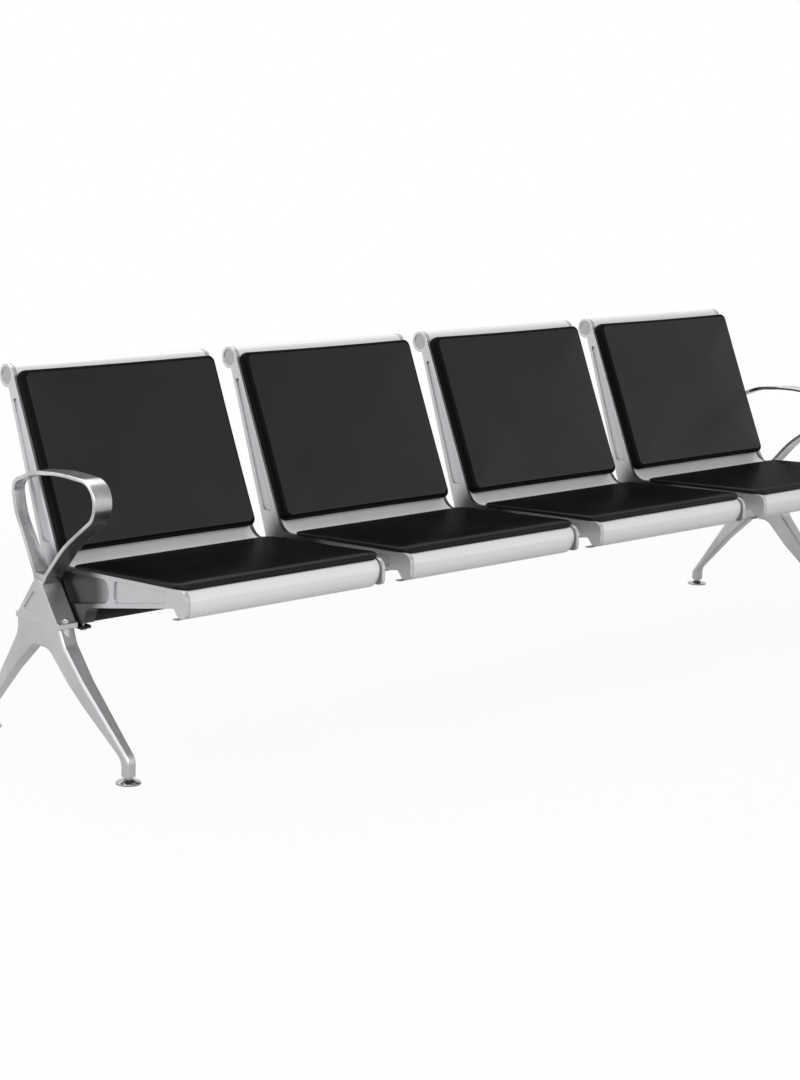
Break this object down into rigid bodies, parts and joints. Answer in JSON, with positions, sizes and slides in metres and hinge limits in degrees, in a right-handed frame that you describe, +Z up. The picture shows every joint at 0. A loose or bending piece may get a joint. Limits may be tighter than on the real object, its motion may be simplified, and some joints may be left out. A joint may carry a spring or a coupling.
{
  "type": "reception bench",
  "caption": "Beam bench: padded sheet seats between cast side frames on a triangular beam, with a cast leg and a closed arm loop at each end.",
  "frame": {"origin": "on the floor under the middle of the bench", "axes": "+X along the beam to the sitter's left, seen from the front to the right; -Y the front edge of the seats; +Z up"},
  "size_m": [2.356, 0.653, 0.7669],
  "materials": {
    "silver_sheet": "satin powder coat",
    "silver_casting": "satin powder coat",
    "cast_aluminium": "polished and satin",
    "black_coat": "satin powder coat",
    "black_leather": "smooth, low sheen",
    "plywood": "raw",
    "foot_metal": "polished",
    "fastener_steel": "zinc plated"
  },
  "bodies": {
    "bench": {"beam": "black_coat", "leg_left": "cast_aluminium", "saddle_left": "cast_aluminium", "arm_left": "cast_aluminium", "leg_right": "cast_aluminium", "saddle_right": "cast_aluminium", "arm_right": "cast_aluminium", "seat_sheet_1": "silver_sheet", "seat_pad_1": "black_leather", "back_pad_1": "black_leather", "seat_board_1": "plywood", "back_board_1": "plywood", "side_frame_left_1": "silver_casting", "clamp_plate_left_1": "black_coat", "side_frame_right_1": "silver_casting", "clamp_plate_right_1": "black_coat", "seat_sheet_2": "silver_sheet", "seat_pad_2": "black_leather", "back_pad_2": "black_leather", "seat_board_2": "plywood", "back_board_2": "plywood", "side_frame_left_2": "silver_casting", "clamp_plate_left_2": "black_coat", "side_frame_right_2": "silver_casting", "clamp_plate_right_2": "black_coat", "seat_sheet_3": "silver_sheet", "seat_pad_3": "black_leather", "back_pad_3": "black_leather", "seat_board_3": "plywood", "back_board_3": "plywood", "side_frame_left_3": "silver_casting", "clamp_plate_left_3": "black_coat", "side_frame_right_3": "silver_casting", "clamp_plate_right_3": "black_coat", "seat_sheet_4": "silver_sheet", "seat_pad_4": "black_leather", "back_pad_4": "black_leather", "seat_board_4": "plywood", "back_board_4": "plywood", "side_frame_left_4": "silver_casting", "clamp_plate_left_4": "black_coat", "side_frame_right_4": "silver_casting", "clamp_plate_right_4": "black_coat", "pad_screws": "fastener_steel", "clamp_bolts": "fastener_steel", "leg_screws": "fastener_steel", "arm_bolts": "fastener_steel"},
    "foot_left_front": {"foot_plate_left_front": "foot_metal"},
    "stem_left_front": {"foot_stem_left_front": "fastener_steel"},
    "foot_left_rear": {"foot_plate_left_rear": "foot_metal"},
    "stem_left_rear": {"foot_stem_left_rear": "fastener_steel"},
    "foot_right_front": {"foot_plate_right_front": "foot_metal"},
    "stem_right_front": {"foot_stem_right_front": "fastener_steel"},
    "foot_right_rear": {"foot_plate_right_rear": "foot_metal"},
    "stem_right_rear": {"foot_stem_right_rear": "fastener_steel"}
  },
  "joints": [
    {"name": "foot_height_left_front", "type": "slide", "parent": "bench", "child": "foot_left_front", "axis": [0, 0, -1], "range_m": [0, 0.015]},
    {"name": "foot_screw_left_front", "type": "hinge", "parent": "foot_left_front", "child": "stem_left_front", "pos_m": [-1.153, -0.187, 0.02], "axis": [0, 0, -1], "range_deg": [0, 3600]},
    {"name": "foot_height_left_rear", "type": "slide", "parent": "bench", "child": "foot_left_rear", "axis": [0, 0, -1], "range_m": [0, 0.015]},
    {"name": "foot_screw_left_rear", "type": "hinge", "parent": "foot_left_rear", "child": "stem_left_rear", "pos_m": [-1.153, 0.302, 0.02], "axis": [0, 0, -1], "range_deg": [0, 3600]},
    {"name": "foot_height_right_front", "type": "slide", "parent": "bench", "child": "foot_right_front", "axis": [0, 0, -1], "range_m": [0, 0.015]},
    {"name": "foot_screw_right_front", "type": "hinge", "parent": "foot_right_front", "child": "stem_right_front", "pos_m": [1.153, -0.187, 0.02], "axis": [0, 0, -1], "range_deg": [0, 3600]},
    {"name": "foot_height_right_rear", "type": "slide", "parent": "bench", "child": "foot_right_rear", "axis": [0, 0, -1], "range_m": [0, 0.015]},
    {"name": "foot_screw_right_rear", "type": "hinge", "parent": "foot_right_rear", "child": "stem_right_rear", "pos_m": [1.153, 0.302, 0.02], "axis": [0, 0, -1], "range_deg": [0, 3600]}
  ],
  "couplings": [
    {"joint": "foot_screw_left_front", "follows": "foot_height_left_front", "rad_per_m": 4188},
    {"joint": "foot_screw_left_rear", "follows": "foot_height_left_rear", "rad_per_m": 4188},
    {"joint": "foot_screw_right_front", "follows": "foot_height_right_front", "rad_per_m": 4188},
    {"joint": "foot_screw_right_rear", "follows": "foot_height_right_rear", "rad_per_m": 4188}
  ]
}
